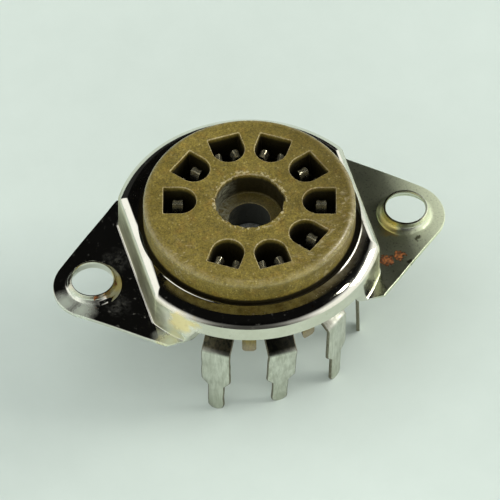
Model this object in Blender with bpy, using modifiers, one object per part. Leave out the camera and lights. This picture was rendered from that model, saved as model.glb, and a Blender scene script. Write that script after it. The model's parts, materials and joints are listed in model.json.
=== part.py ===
"""Nine-contact miniature valve socket: moulded insulator, bottom retainer, bent sheet saddle with two
mounting ears, and nine spring contacts with solder tails.

The socket stands on the tips of its tails. +Z is up, +X runs along the line through the two ears, and
the origin is in the middle of the ground area. Depths are measured down from the face of the insulator.
"""

import math

import bmesh
import bpy
from mathutils import Matrix, Vector

MM = 0.001

# Driving dimensions
CONTACT_COUNT = 9
POSITION_COUNT = 10
PITCH_RADIUS = 5.945 * MM
EAR_REACH = 14.0 * MM
FACE_HEIGHT = 17.6 * MM
FACE_RADIUS = 9.11 * MM
SHEET = 0.4 * MM
STRIP = 0.3 * MM
LEAF_SHEET = 0.22 * MM
FIT_GAP = 0.05 * MM
EMPTY_POSITION = math.radians(199.6)
POSITION_STEP = math.tau / POSITION_COUNT
OVERSHOOT = 1.0 * MM  # how far a cutter runs past what it cuts

# Depths below the face
SHELF_DEPTH = 2.44 * MM
SKIRT_DEPTH = 4.62 * MM
EAR_DEPTH = 6.53 * MM
FLOOR_DEPTH = 7.0 * MM
LEG_DEPTH = 9.8 * MM

# Saddle
BOSS_RADIUS = 11.56 * MM
BOSS_HALF_WIDTH = 9.94 * MM
BOSS_ROUNDING = 0.45 * MM
APERTURE_RADIUS = 9.60 * MM
EAR_HALF_WIDTH = 8.05 * MM
EAR_HULL_RADIUS = 12.49 * MM
EAR_TIP_RADIUS = 3.41 * MM
NOTCH_RUN = 0.9 * MM
COLLAR_BASE_RADIUS = 2.5 * MM
COLLAR_RIM_RADIUS = 1.9 * MM
COLLAR_BORE_RADIUS = 1.75 * MM
COLLAR_HEIGHT = 0.8 * MM
COLLAR_LIP = 0.06 * MM
FUNNEL_FLARE = 0.4 * MM
CRIMP_ANGLES = [math.radians(side + step) for side in (90, 270) for step in (-24, 0, 24)]
CRIMP_HALF_ANGLE = math.radians(7)
CRIMP_INNER_RADIUS = 10.2 * MM

# Insulator and retainer
EDGE_ROUNDING = 0.35 * MM
FLANGE_RADIUS = 10.9 * MM
FLANGE_HALF_WIDTH = 9.3 * MM
FLANGE_BOTTOM = 4.1 * MM
LOWER_RADIUS = 8.7 * MM
WELL_RADIUS = 2.9 * MM
WELL_FLOOR_RADIUS = 2.88 * MM
WELL_DEPTH = 2.49 * MM
BORE_RADIUS = 1.8 * MM
HOLE_HALF_WIDTH = 1.41 * MM
HOLE_FLAT_RADIUS = 7.39 * MM
LEG_INNER_RADIUS = 6.97 * MM
LEG_SLOT_HALF_WIDTH = 2.1 * MM
HOLE_CORNER = 0.15 * MM
BORE_LEAD_IN = 0.06 * MM
RETAINER_BOTTOM = 9.3 * MM
RETAINER_CHAMFER = 0.2 * MM
SPIGOT_TOP = 5.2 * MM

# Contacts
STEM_TOP = 2.7 * MM
STEM_HALF_WIDTH = 1.3 * MM
STEM_RADIUS = HOLE_FLAT_RADIUS - FIT_GAP - STRIP / 2
TAIL_RADIUS = 9.25 * MM
TAIL_BEND_DEPTH = 10.0 * MM
TAIL_BEND_ROUNDING = 0.35 * MM
SHOULDER_DEPTH = 13.7 * MM
SHOULDER_HEIGHT = 0.75 * MM
TIP_HALF_WIDTH = 0.72 * MM
TIP_ROUNDING = 0.5 * MM

# Radius that each tail's tip stands at: the tails are bent by hand, and no two lean quite alike
TIP_RADII = [r * MM for r in (9.15, 8.2, 9.05, 9.4, 9.1, 8.9, 9.2, 9.0, 9.1)]

# Spring leaves
LEAF_RADIUS = 6.15 * MM
LEAF_HALF_LENGTH = 0.75 * MM
LEAF_FOOT_OFFSET = 1.14 * MM
LEAF_FOOT_DEPTH = 6.5 * MM
LEAF_ROUNDING = 0.14 * MM

# A leaf's bends: offset from the middle of the hole, and height above the foot
LEAF_BENDS = [(1.14, -0.3), (1.09, 1.6), (0.53, 4.05), (0.56, 4.8), (0.80, 5.3), (1.02, 5.0)]

# Smoothness
ARC_STEPS = 28
EAR_STEPS = 16
HOLE_STEPS = 12
SMALL_STEPS = 4
TURN_STEPS = 72
SMALL_TURN_STEPS = 36
MERGE = 1e-7


def clear_scene():
    for old in list(bpy.data.objects):
        bpy.data.objects.remove(old, do_unlink=True)


def new_collection(name):
    collection = bpy.data.collections.new(name)
    bpy.context.scene.collection.children.link(collection)
    return collection


def level(depth):
    """Height above the ground of a depth below the face."""
    return FACE_HEIGHT - depth


def polar(radius, angle):
    return (radius * math.cos(angle), radius * math.sin(angle))


def arc(centre, radius, start, end, steps):
    """Points along an arc, both ends included."""
    points = []
    for i in range(steps + 1):
        x, y = polar(radius, start + (end - start) * i / steps)
        points.append((centre[0] + x, centre[1] + y))
    return points


def material(name, colour, metallic, roughness):
    made = bpy.data.materials.new(name)
    made.use_nodes = True
    shader = made.node_tree.nodes["Principled BSDF"]
    shader.inputs["Base Color"].default_value = (*colour, 1.0)
    shader.inputs["Metallic"].default_value = metallic
    shader.inputs["Roughness"].default_value = roughness
    made.diffuse_color = (*colour, 1.0)
    return made


def add_object(name, mesh, collection):
    made = bpy.data.objects.new(name, mesh)
    collection.objects.link(made)
    return made


def as_cutter(made):
    made.hide_render = True
    made.display_type = "WIRE"
    return made


def outline_solid(name, points, low, high, collection):
    """A flat outline in XY made into a solid between two heights."""
    curve = bpy.data.curves.new(name, "CURVE")
    curve.dimensions = "2D"
    curve.fill_mode = "BOTH"
    curve.extrude = (high - low) / 2
    spline = curve.splines.new("POLY")
    spline.points.add(len(points) - 1)
    for point, (x, y) in zip(spline.points, points):
        point.co = (x, y, 0.0, 1.0)
    spline.use_cyclic_u = True
    holder = add_object(name, curve, collection)
    bpy.context.view_layer.update()
    evaluated = holder.evaluated_get(bpy.context.evaluated_depsgraph_get())
    mesh = bpy.data.meshes.new_from_object(evaluated)
    bpy.data.objects.remove(holder, do_unlink=True)
    edit_mesh(mesh, lambda work: bmesh.ops.remove_doubles(work, verts=work.verts, dist=MERGE))
    made = add_object(name, mesh, collection)
    made.location.z = (low + high) / 2
    return made


def edit_mesh(mesh, action):
    work = bmesh.new()
    work.from_mesh(mesh)
    action(work)
    bmesh.ops.recalc_face_normals(work, faces=work.faces)
    work.to_mesh(mesh)
    work.free()


def turned_solid(name, profile, steps, collection):
    """A profile of (radius, height) points turned about the object's own Z axis."""
    mesh = bpy.data.meshes.new(name)
    vertices = [(radius, 0.0, height) for radius, height in profile]
    edges = [(i, i + 1) for i in range(len(profile) - 1)]
    mesh.from_pydata(vertices, edges, [])
    made = add_object(name, mesh, collection)
    screw = made.modifiers.new("Turn", "SCREW")
    screw.axis = "Z"
    screw.steps = steps
    screw.render_steps = steps
    screw.use_merge_vertices = True
    screw.merge_threshold = MERGE
    return made


def boolean(target, operation, other):
    """Cut, join or keep common with another solid, which then only shapes the target."""
    as_cutter(other)
    step = target.modifiers.new(operation.title() + " " + other.name, "BOOLEAN")
    step.operation = operation
    step.solver = "EXACT"
    step.object = other


def bevel(target, width, segments, angle_degrees):
    step = target.modifiers.new("Rounding", "BEVEL")
    step.width = width
    step.segments = segments
    step.limit_method = "ANGLE"
    step.angle_limit = math.radians(angle_degrees)
    step.use_clamp_overlap = False


def shaped_mesh(made):
    """The finished mesh of an object, taken off its modifiers."""
    bpy.context.view_layer.update()
    evaluated = made.evaluated_get(bpy.context.evaluated_depsgraph_get())
    return bpy.data.meshes.new_from_object(evaluated)


def finish(made, surface):
    made.data.materials.clear()
    made.data.materials.append(surface)
    made.data.shade_smooth()
    made.data.set_sharp_from_angle(angle=math.radians(35))
    return made


def flatted_disc(radius, half_width):
    """Outline of a disc with two straight sides across the X axis."""
    corner = math.acos(half_width / radius)
    back = arc((0, 0), radius, corner, math.pi - corner, ARC_STEPS)
    front = arc((0, 0), radius, math.pi + corner, math.tau - corner, ARC_STEPS)
    return back + front


def copies_around(name, source, angles, collection):
    """One object holding a turned copy of a solid for each angle."""
    mesh = bpy.data.meshes.new(name)
    work = bmesh.new()
    piece = shaped_mesh(source)
    piece.transform(source.matrix_world)
    for angle in angles:
        turned = piece.copy()
        turned.transform(Matrix.Rotation(angle, 4, "Z"))
        work.from_mesh(turned)
    work.to_mesh(mesh)
    work.free()
    bpy.data.objects.remove(source, do_unlink=True)
    return add_object(name, mesh, collection)


def contact_angles():
    return [EMPTY_POSITION + POSITION_STEP * (i + 1) for i in range(CONTACT_COUNT)]


# Saddle

def ear_outline():
    """Both ears and the plate between them, before the boss is pushed up out of it."""
    tangent = math.acos((EAR_HULL_RADIUS - EAR_TIP_RADIUS) / EAR_REACH)
    right = arc((EAR_REACH, 0), EAR_TIP_RADIUS, -tangent, tangent, EAR_STEPS)
    left = arc((-EAR_REACH, 0), EAR_TIP_RADIUS, math.pi - tangent, math.pi + tangent, EAR_STEPS)
    shoulder_x, shoulder_y = polar(EAR_HULL_RADIUS, tangent)
    back = [(shoulder_x, shoulder_y), (-shoulder_x, shoulder_y)]
    front = [(-shoulder_x, -shoulder_y), (shoulder_x, -shoulder_y)]
    return right + back + left + front


def collar_profile():
    """The flared outside of a screw hole's burred-up collar, rooted in the ear."""
    top = level(EAR_DEPTH)
    rim = top + COLLAR_HEIGHT
    return [
        (0, rim),
        (COLLAR_RIM_RADIUS - COLLAR_LIP, rim),
        (COLLAR_RIM_RADIUS, rim - COLLAR_LIP),
        (COLLAR_RIM_RADIUS + COLLAR_LIP, top + 0.6 * COLLAR_HEIGHT),
        (COLLAR_BASE_RADIUS - 6 * COLLAR_LIP, top + 0.22 * COLLAR_HEIGHT),
        (COLLAR_BASE_RADIUS - 2.5 * COLLAR_LIP, top + COLLAR_LIP / 3),
        (COLLAR_BASE_RADIUS, top - SHEET / 4),
        (0, top - SHEET / 2),
    ]


def screw_hole_profile():
    """The bore through collar and ear, with the funnel that the burr leaves underneath."""
    top = level(EAR_DEPTH)
    return [
        (0, top + 2 * COLLAR_HEIGHT),
        (COLLAR_BORE_RADIUS + COLLAR_LIP / 3, top + 2 * COLLAR_HEIGHT),
        (COLLAR_BORE_RADIUS, top + 0.3 * COLLAR_HEIGHT),
        (COLLAR_BORE_RADIUS + COLLAR_LIP, top - SHEET / 4),
        (COLLAR_BORE_RADIUS + FUNNEL_FLARE, top - 1.4 * SHEET),
        (COLLAR_BORE_RADIUS + FUNNEL_FLARE, top - 2 * SHEET),
        (0, top - 2 * SHEET),
    ]


def notch_outline(side):
    """Section in YZ of the sheet that is missing below the skirt between the ears."""
    return [
        (side * EAR_HALF_WIDTH, level(LEG_DEPTH)),
        (side * EAR_HALF_WIDTH, level(EAR_DEPTH + SHEET)),
        (side * (EAR_HALF_WIDTH + NOTCH_RUN), level(SKIRT_DEPTH)),
        (side * 2 * BOSS_RADIUS, level(SKIRT_DEPTH)),
        (side * 2 * BOSS_RADIUS, level(LEG_DEPTH)),
    ]


def along_x(name, outline, half_length, collection):
    """A solid with its section in YZ, running along X."""
    made = outline_solid(name, outline, -half_length, half_length, collection)
    made.rotation_euler = (math.radians(90), 0, math.radians(90))
    return made


def crimp_tab(name, angle, collection):
    """A tab at the foot of the skirt, folded in under the insulator's flange."""
    start = angle - CRIMP_HALF_ANGLE
    end = angle + CRIMP_HALF_ANGLE
    outer = arc((0, 0), BOSS_RADIUS - SHEET / 2, start, end, SMALL_STEPS)
    inner = arc((0, 0), CRIMP_INNER_RADIUS, end, start, SMALL_STEPS)
    return outline_solid(name, outer + inner, level(SKIRT_DEPTH), level(SKIRT_DEPTH - SHEET), collection)


def build_saddle(parts, cutters, surface):
    below = level(LEG_DEPTH)
    shell_outline = flatted_disc(BOSS_RADIUS, BOSS_HALF_WIDTH)
    pocket_outline = flatted_disc(BOSS_RADIUS - SHEET, BOSS_HALF_WIDTH - SHEET)
    saddle = outline_solid("mounting_saddle", shell_outline, below, level(SHELF_DEPTH), parts)
    bevel(saddle, BOSS_ROUNDING, 4, 25)

    floor_top = level(EAR_DEPTH + SHEET)
    floor = outline_solid("below_ears", ear_outline(), below - OVERSHOOT, floor_top, cutters)
    boolean(saddle, "DIFFERENCE", floor)
    plate = outline_solid("ear_plate", ear_outline(), floor_top, level(EAR_DEPTH), cutters)
    boolean(saddle, "UNION", plate)

    pocket_top = level(SHELF_DEPTH + SHEET)
    pocket = outline_solid("boss_pocket", pocket_outline, below - 2 * OVERSHOOT, pocket_top, cutters)
    bevel(pocket, BOSS_ROUNDING - SHEET / 2, 2, 25)
    boolean(saddle, "DIFFERENCE", pocket)

    aperture_bottom = pocket_top - SHEET / 4
    aperture_wall = [(0, FACE_HEIGHT), (APERTURE_RADIUS, FACE_HEIGHT)]
    aperture_wall += [(APERTURE_RADIUS, aperture_bottom), (0, aperture_bottom)]
    aperture = turned_solid("aperture", aperture_wall, TURN_STEPS, cutters)
    boolean(saddle, "DIFFERENCE", aperture)

    for side, name in ((1, "back"), (-1, "front")):
        boolean(saddle, "DIFFERENCE", along_x("notch_" + name, notch_outline(side), 2 * EAR_REACH, cutters))
    for number, angle in enumerate(CRIMP_ANGLES, start=1):
        boolean(saddle, "UNION", crimp_tab(f"crimp_tab_{number}", angle, cutters))

    for side, name in ((1, "right"), (-1, "left")):
        collar = turned_solid("collar_" + name, collar_profile(), SMALL_TURN_STEPS, cutters)
        collar.location.x = side * EAR_REACH
        boolean(saddle, "UNION", collar)
        hole = turned_solid("screw_hole_" + name, screw_hole_profile(), SMALL_TURN_STEPS, cutters)
        hole.location.x = side * EAR_REACH
        hole.rotation_euler.z = math.pi / SMALL_TURN_STEPS
        boolean(saddle, "DIFFERENCE", hole)
    return finish(saddle, surface)


# Insulator and retainer

def hole_outline():
    """A D, with its round end at the pitch circle and its flat facing outwards."""
    round_end = arc((PITCH_RADIUS, 0), HOLE_HALF_WIDTH, math.radians(90), math.radians(270), HOLE_STEPS)
    flat = [
        (HOLE_FLAT_RADIUS - HOLE_CORNER, -HOLE_HALF_WIDTH),
        (HOLE_FLAT_RADIUS, -HOLE_HALF_WIDTH + HOLE_CORNER),
        (HOLE_FLAT_RADIUS, HOLE_HALF_WIDTH - HOLE_CORNER),
        (HOLE_FLAT_RADIUS - HOLE_CORNER, HOLE_HALF_WIDTH),
    ]
    return round_end + flat


def build_insulator(parts, cutters, surface):
    edge_centre = (FACE_RADIUS - EDGE_ROUNDING, level(EDGE_ROUNDING))
    face_edge = arc(edge_centre, EDGE_ROUNDING, math.radians(90), 0, SMALL_STEPS)
    flange_middle = level((SHELF_DEPTH + SHEET + FLANGE_BOTTOM) / 2)
    profile = [(0, FACE_HEIGHT), *face_edge, (FACE_RADIUS, flange_middle)]
    profile += [(LOWER_RADIUS, flange_middle), (LOWER_RADIUS, level(LEG_DEPTH)), (0, level(LEG_DEPTH))]
    insulator = turned_solid("insulator_body", profile, TURN_STEPS, parts)

    flange_outline = flatted_disc(FLANGE_RADIUS, FLANGE_HALF_WIDTH)
    flange_top = level(SHELF_DEPTH + SHEET + FIT_GAP)
    flange = outline_solid("insulator_flange", flange_outline, level(FLANGE_BOTTOM), flange_top, cutters)
    boolean(insulator, "UNION", flange)

    above = FACE_HEIGHT + OVERSHOOT
    below = level(LEG_DEPTH) - OVERSHOOT
    well = [
        (0, above),
        (WELL_RADIUS + 0.3 * OVERSHOOT, above),
        (WELL_RADIUS, level(BORE_LEAD_IN)),
        (WELL_FLOOR_RADIUS, level(WELL_DEPTH)),
        (BORE_RADIUS + BORE_LEAD_IN, level(WELL_DEPTH + BORE_LEAD_IN)),
        (BORE_RADIUS, level(WELL_DEPTH + 2 * BORE_LEAD_IN)),
        (BORE_RADIUS, level(FLOOR_DEPTH)),
        (LEG_INNER_RADIUS, level(FLOOR_DEPTH)),
        (LEG_INNER_RADIUS, below),
        (0, below),
    ]
    bored = turned_solid("well_and_bore", well, SMALL_TURN_STEPS, cutters)
    bored.rotation_euler.z = math.pi / TURN_STEPS
    boolean(insulator, "DIFFERENCE", bored)

    hole = outline_solid("contact_hole", hole_outline(), level(FLOOR_DEPTH) - OVERSHOOT, above, cutters)
    holes = copies_around("contact_holes", hole, contact_angles(), cutters)
    boolean(insulator, "DIFFERENCE", holes)

    slot_outline = [
        (0.8 * LEG_INNER_RADIUS, -LEG_SLOT_HALF_WIDTH),
        (1.5 * LEG_INNER_RADIUS, -LEG_SLOT_HALF_WIDTH),
        (1.5 * LEG_INNER_RADIUS, LEG_SLOT_HALF_WIDTH),
        (0.8 * LEG_INNER_RADIUS, LEG_SLOT_HALF_WIDTH),
    ]
    slot = outline_solid("leg_slot", slot_outline, below, level(FLOOR_DEPTH + FIT_GAP), cutters)
    boolean(insulator, "DIFFERENCE", copies_around("leg_slots", slot, contact_angles(), cutters))
    return finish(insulator, surface)


def build_retainer(parts, surface):
    """The wafer that closes the insulator from below, with a spigot pressed into the bore."""
    top = level(FLOOR_DEPTH + FIT_GAP)
    bottom = level(RETAINER_BOTTOM)
    spigot_radius = BORE_RADIUS - FIT_GAP
    wafer_radius = LEG_INNER_RADIUS - FIT_GAP
    profile = [
        (0, level(SPIGOT_TOP)),
        (spigot_radius - RETAINER_CHAMFER, level(SPIGOT_TOP)),
        (spigot_radius, level(SPIGOT_TOP) - RETAINER_CHAMFER),
        (spigot_radius, top),
        (wafer_radius, top),
        (wafer_radius, bottom + RETAINER_CHAMFER),
        (wafer_radius - RETAINER_CHAMFER, bottom),
        (0, bottom),
    ]
    return finish(turned_solid("bottom_retainer", profile, TURN_STEPS, parts), surface)


# Contacts

def rounded_path(corners, rounding):
    """A line through corner points, with each inner corner turned into an arc."""
    points = [Vector(corners[0])]
    for before, corner, after in zip(corners, corners[1:], corners[2:]):
        corner = Vector(corner)
        back = (Vector(before) - corner).normalized()
        ahead = (Vector(after) - corner).normalized()
        half_angle = back.angle(ahead) / 2
        reach = rounding / math.tan(half_angle)
        centre = corner + (back + ahead).normalized() * rounding / math.sin(half_angle)
        start = corner + back * reach - centre
        sweep = start.angle_signed(corner + ahead * reach - centre)
        for i in range(SMALL_STEPS + 1):
            turned = start.copy()
            turned.rotate(Matrix.Rotation(-sweep * i / SMALL_STEPS, 2))
            points.append(centre + turned)
    points.append(Vector(corners[-1]))
    return points


def strip_outline(path, thickness):
    """The outline of a strip of even thickness that follows a path."""
    left = []
    right = []
    for i, point in enumerate(path):
        ahead = path[min(i + 1, len(path) - 1)] - path[max(i - 1, 0)]
        side = Vector((-ahead.y, ahead.x)).normalized() * thickness / 2
        left.append(tuple(point + side))
        right.append(tuple(point - side))
    return left + right[::-1]


def along_y(name, outline, half_length, collection):
    """A solid with its section in XZ, running along Y."""
    made = outline_solid(name, outline, -half_length, half_length, collection)
    made.rotation_euler = (math.radians(90), 0, 0)
    return made


def tail_silhouette():
    """The strip seen from outside: full width, then shoulders and a narrow rounded tip."""
    corner = (TIP_HALF_WIDTH - TIP_ROUNDING, TIP_ROUNDING)
    right = arc(corner, TIP_ROUNDING, math.radians(-90), 0, SMALL_STEPS) + [
        (TIP_HALF_WIDTH, level(SHOULDER_DEPTH + SHOULDER_HEIGHT)),
        (STEM_HALF_WIDTH, level(SHOULDER_DEPTH)),
        (STEM_HALF_WIDTH, FACE_HEIGHT),
    ]
    left = [(-x, z) for x, z in reversed(right)]
    return right + left


def contact_mesh(tip_radius, cutters):
    """Stem, outward slope and solder tail of one contact, in the plane of its own position."""
    slope_run = TAIL_RADIUS - STEM_RADIUS
    corners = [
        (STEM_RADIUS, level(STEM_TOP)),
        (STEM_RADIUS, level(TAIL_BEND_DEPTH - slope_run)),
        (TAIL_RADIUS, level(TAIL_BEND_DEPTH)),
        (tip_radius, 0.0),
    ]
    side_view = strip_outline(rounded_path(corners, TAIL_BEND_ROUNDING), STRIP)
    strip = along_y("contact_strip", side_view, 2 * STEM_HALF_WIDTH, cutters)
    silhouette = along_x("contact_silhouette", tail_silhouette(), 2 * TAIL_RADIUS, cutters)
    boolean(strip, "INTERSECT", silhouette)
    mesh = shaped_mesh(strip)
    mesh.transform(strip.matrix_world)
    for used in (strip, silhouette):
        bpy.data.objects.remove(used, do_unlink=True)
    return mesh


def leaf_mesh(cutters):
    """One spring leaf about its foot: it leans in to grip the pin, and its lead-in turns out again."""
    corners = [(offset * MM - LEAF_FOOT_OFFSET, height * MM) for offset, height in LEAF_BENDS]
    section = strip_outline(rounded_path(corners, LEAF_ROUNDING), LEAF_SHEET)
    leaf = along_x("leaf_strip", section, LEAF_HALF_LENGTH, cutters)
    mesh = shaped_mesh(leaf)
    mesh.transform(leaf.matrix_world)
    bpy.data.objects.remove(leaf, do_unlink=True)
    return mesh


def build_contacts(parts, cutters, surface):
    leaf = leaf_mesh(cutters)
    for number, angle in enumerate(contact_angles(), start=1):
        stem = contact_mesh(TIP_RADII[number - 1], cutters)
        contact = add_object(f"contact_{number}", stem, parts)
        contact.rotation_euler.z = angle
        finish(contact, surface)
        outward = Vector((math.cos(angle), math.sin(angle), 0))
        sideways = Vector((-math.sin(angle), math.cos(angle), 0))
        for letter, side in (("a", 1), ("b", -1)):
            spring = add_object(f"contact_{number}_leaf_{letter}", leaf, parts)
            spring.location = outward * LEAF_RADIUS + sideways * side * LEAF_FOOT_OFFSET
            spring.location.z = level(LEAF_FOOT_DEPTH)
            spring.rotation_euler.z = angle if side > 0 else angle + math.pi
            finish(spring, surface)


def main():
    clear_scene()
    parts = new_collection("valve_socket")
    cutters = new_collection("valve_socket_cutters")
    phenolic = material("brown_phenolic", (0.20, 0.15, 0.07), 0.0, 0.55)
    nickel = material("nickel_plated_steel", (0.72, 0.70, 0.65), 1.0, 0.18)
    tin = material("tinned_bronze", (0.62, 0.61, 0.57), 1.0, 0.35)
    build_insulator(parts, cutters, phenolic)
    build_retainer(parts, phenolic)
    build_saddle(parts, cutters, nickel)
    build_contacts(parts, cutters, tin)


main()
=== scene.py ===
"""The finished look of a nine-contact miniature valve socket, built around its fixed CAD frame.

Every piece is rebuilt as a fine mesh in the place of its CAD node: a moulded insulator with chamfered
D-shaped holes and a chipped centre well, a bent and plated saddle with burred screw collars, nine stamped
contacts with solder tails, and eighteen spring leaves. Lengths are in metres.
"""

import json
import math
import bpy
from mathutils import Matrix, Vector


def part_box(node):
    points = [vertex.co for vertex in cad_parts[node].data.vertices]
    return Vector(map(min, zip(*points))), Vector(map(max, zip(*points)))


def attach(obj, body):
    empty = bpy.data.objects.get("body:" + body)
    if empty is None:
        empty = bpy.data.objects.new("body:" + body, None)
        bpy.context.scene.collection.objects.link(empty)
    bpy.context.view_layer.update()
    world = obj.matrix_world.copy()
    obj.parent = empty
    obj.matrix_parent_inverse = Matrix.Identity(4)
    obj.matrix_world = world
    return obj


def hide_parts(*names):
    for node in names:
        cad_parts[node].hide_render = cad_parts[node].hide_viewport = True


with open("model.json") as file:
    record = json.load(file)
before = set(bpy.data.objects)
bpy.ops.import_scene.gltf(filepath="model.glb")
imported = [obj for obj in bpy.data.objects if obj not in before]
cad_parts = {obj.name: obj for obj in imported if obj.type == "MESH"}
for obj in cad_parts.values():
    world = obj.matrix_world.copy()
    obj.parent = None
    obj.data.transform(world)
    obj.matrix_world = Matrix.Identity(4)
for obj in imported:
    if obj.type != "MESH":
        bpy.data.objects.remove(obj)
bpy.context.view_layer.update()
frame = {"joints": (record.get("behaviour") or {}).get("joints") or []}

from types import SimpleNamespace

import bmesh
import bpy
from mathutils import Matrix, Vector, noise

MM = 0.001


# Sizes read from the frame

INSULATOR_LOW, INSULATOR_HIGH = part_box("insulator_body")
SADDLE_LOW, SADDLE_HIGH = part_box("mounting_saddle")
RETAINER_LOW, RETAINER_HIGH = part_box("bottom_retainer")
JOINTS = {joint["name"]: joint for joint in frame["joints"]}
FACE = INSULATOR_HIGH.z
LEG_BOTTOM = INSULATOR_LOW.z
FLANGE_RADIUS = INSULATOR_HIGH.y
FLANGE_HALF_WIDTH = INSULATOR_HIGH.x
SHELF = SADDLE_HIGH.z
BOSS_RADIUS = SADDLE_HIGH.y
EAR_BOTTOM = SADDLE_LOW.z
LEAF_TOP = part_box("contact_1_leaf_a")[1].z

# Driving dimensions that the boxes don't give
CONTACT_COUNT = 9
EMPTY_POSITION = math.radians(199.6)
POSITION_STEP = math.radians(36)
SHEET = 0.4 * MM
FIT_GAP = 0.05 * MM
EAR_TOP = EAR_BOTTOM + SHEET
EAR_TIP_RADIUS = 3.41 * MM
EAR_REACH = SADDLE_HIGH.x - EAR_TIP_RADIUS
EAR_HULL_RADIUS = 12.49 * MM
EAR_HALF_WIDTH = 8.05 * MM
DROOP_START = 12.2 * MM
EAR_DROOP = 0.012 / MM
SAG_START = 10.1 * MM
SAG_RUN = 1.5 * MM
EAR_SAG = 0.09 * MM
SKIRT_BOTTOM = FACE - 4.62 * MM
NOTCH_RUN = 0.9 * MM
BOSS_HALF_WIDTH = 10.02 * MM
BOSS_OFFSET = -0.07 * MM
BOSS_CORNER = 1.0 * MM
BOSS_ROUNDING = 0.75 * MM
BOSS_STRETCH = 0.35
BOSS_LEAN = 0.06 * MM
BOSS_FLATNESS = 0.6
FOOT_FILLET = 0.14 * MM
APERTURE_RADIUS = 9.60 * MM
# The burr's run outwards from the aperture and rise over the shelf, in mm
LIP_SECTION = [
    (0.17, 0.0), (0.13, 0.012), (0.095, 0.045), (0.065, 0.085), (0.04, 0.105), (0.01, 0.11), (-0.4, 0.11),
]
LIP_ARCS = [(math.radians(-139), math.radians(22)), (math.radians(-38), math.radians(20))]
LIP_FADE = math.radians(8)
FACE_RADIUS = 9.11 * MM
EDGE_ROUNDING = 0.55 * MM
FLANGE_BOTTOM = FACE - 4.1 * MM
LOWER_RADIUS = 8.7 * MM
FLOOR = FACE - 7.0 * MM
WELL_RADIUS = 2.9 * MM
LEDGE = FACE - 2.49 * MM
BORE_RADIUS = 1.8 * MM
PITCH_RADIUS = 5.945 * MM
HOLE_HALF_WIDTH = 1.41 * MM
HOLE_FLAT_RADIUS = 7.39 * MM
LEG_INNER_RADIUS = 6.97 * MM
LEG_SLOT_HALF_WIDTH = 2.1 * MM
# Rise and flare of the legs' corners, in mm
LEG_CORNERS = [(-1.0, 0.27), (0.0, 0.27), (0.03, 0.19), (0.09, 0.11), (0.18, 0.045), (0.35, 0.0)]
COLLAR_BASE_RADIUS = 2.5 * MM
COLLAR_RIM_RADIUS = 1.9 * MM
# For each side, the radius at the rim and how much it widens below
COLLAR_BORES = {-1: (1.75 * MM, 0.12 * MM), 1: (1.68 * MM, 0.4 * MM)}
COLLAR_HEIGHT = 0.8 * MM
COLLAR_TOP = EAR_TOP + COLLAR_HEIGHT
COLLAR_FLARE = 0.55 * MM
# Side, azimuth in degrees, depth
RIM_CRACKS = [(-1, 150, 0.45 * MM), (-1, 262, 0.3 * MM), (1, 115, 0.25 * MM)]
POCKET_BEND = 1.1 * SHEET
CRIMP_ANGLES = [math.radians(side + step) for side in (90, 270) for step in (-24, 0, 24)]
CRIMP_HALF_ANGLE = math.radians(7)
CRIMP_INNER_RADIUS = 10.2 * MM
STRIP = 0.3 * MM
STEM_RADIUS = HOLE_FLAT_RADIUS - FIT_GAP - STRIP / 2
STEM_HALF_WIDTH = 1.3 * MM
STEM_TOP = FACE - 2.7 * MM
TAIL_RADIUS = 9.25 * MM
TAIL_BEND = FACE - 10.0 * MM
TAIL_BEND_RADIUS = 0.35 * MM
SHOULDER = FACE - 13.7 * MM
SHOULDER_HEIGHT = 0.75 * MM
TIP_HALF_WIDTH = 0.72 * MM
TIP_ROUNDING = 0.6 * MM
TIP_RADII = [r * MM for r in (9.15, 8.2, 9.05, 9.4, 9.1, 8.9, 9.2, 9.0, 9.1)]
LEAF_SHEET = 0.22 * MM
LEAF_HALF_LENGTH = 0.75 * MM
LEAF_FOOT_OFFSET = 1.14 * MM
LEAF_NECK = 0.46 * MM
LEAF_BEND_RADIUS = 0.16 * MM
LEAF_DOME = 0.22 * MM
# Offset from the pin's middle and height of a leaf's corners, in mm
LEAF_BENDS = [(1.14, -0.3), (1.09, 1.6), (0.53, 4.05), (0.56, 4.8), (0.80, 5.3), (1.02, 5.0)]

TURN = 144
QUARTER = 8


# Mesh building

def polar(radius, angle, height=0.0):
    return Vector((radius * math.cos(angle), radius * math.sin(angle), height))


def arc(centre, radius, start, end, steps):
    """Points along an arc in a plane, both ends included."""
    angles = [start + (end - start) * i / steps for i in range(steps + 1)]
    return [(centre[0] + radius * math.cos(angle), centre[1] + radius * math.sin(angle)) for angle in angles]


def stepped(radius, height, steps):
    """Profile points at steps in millimetres from a radius and a height."""
    return [(radius + out * MM, height + up * MM) for out, up in steps]


def fillet(steps=QUARTER):
    """How far in and how far up a rounded foot has come at each step, as shares of its radius."""
    angles = [math.pi / 2 * i / steps for i in range(1, steps + 1)]
    return [(math.sin(angle), 1 - math.cos(angle)) for angle in angles]


def added(name, data):
    """A new object in the scene."""
    made = bpy.data.objects.new(name, data)
    bpy.context.scene.collection.objects.link(made)
    return made


def new_piece(name, build):
    """An object whose mesh a function of a bmesh fills in, with every face turned outwards."""
    work = bmesh.new()
    build(work)
    bmesh.ops.recalc_face_normals(work, faces=work.faces)
    mesh = bpy.data.meshes.new(name)
    work.to_mesh(mesh)
    work.free()
    return added(name, mesh)


def loft(name, rings):
    """A closed solid through rings of points that all have the same count."""
    def build(work):
        rows = [[work.verts.new(point) for point in ring] for ring in rings]
        count = len(rows[0])
        for lower, upper in zip(rows, rows[1:]):
            for i in range(count):
                j = (i + 1) % count
                work.faces.new((lower[i], lower[j], upper[j], upper[i]))
        work.faces.new(rows[0])
        work.faces.new(rows[-1])
    return new_piece(name, build)


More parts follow.
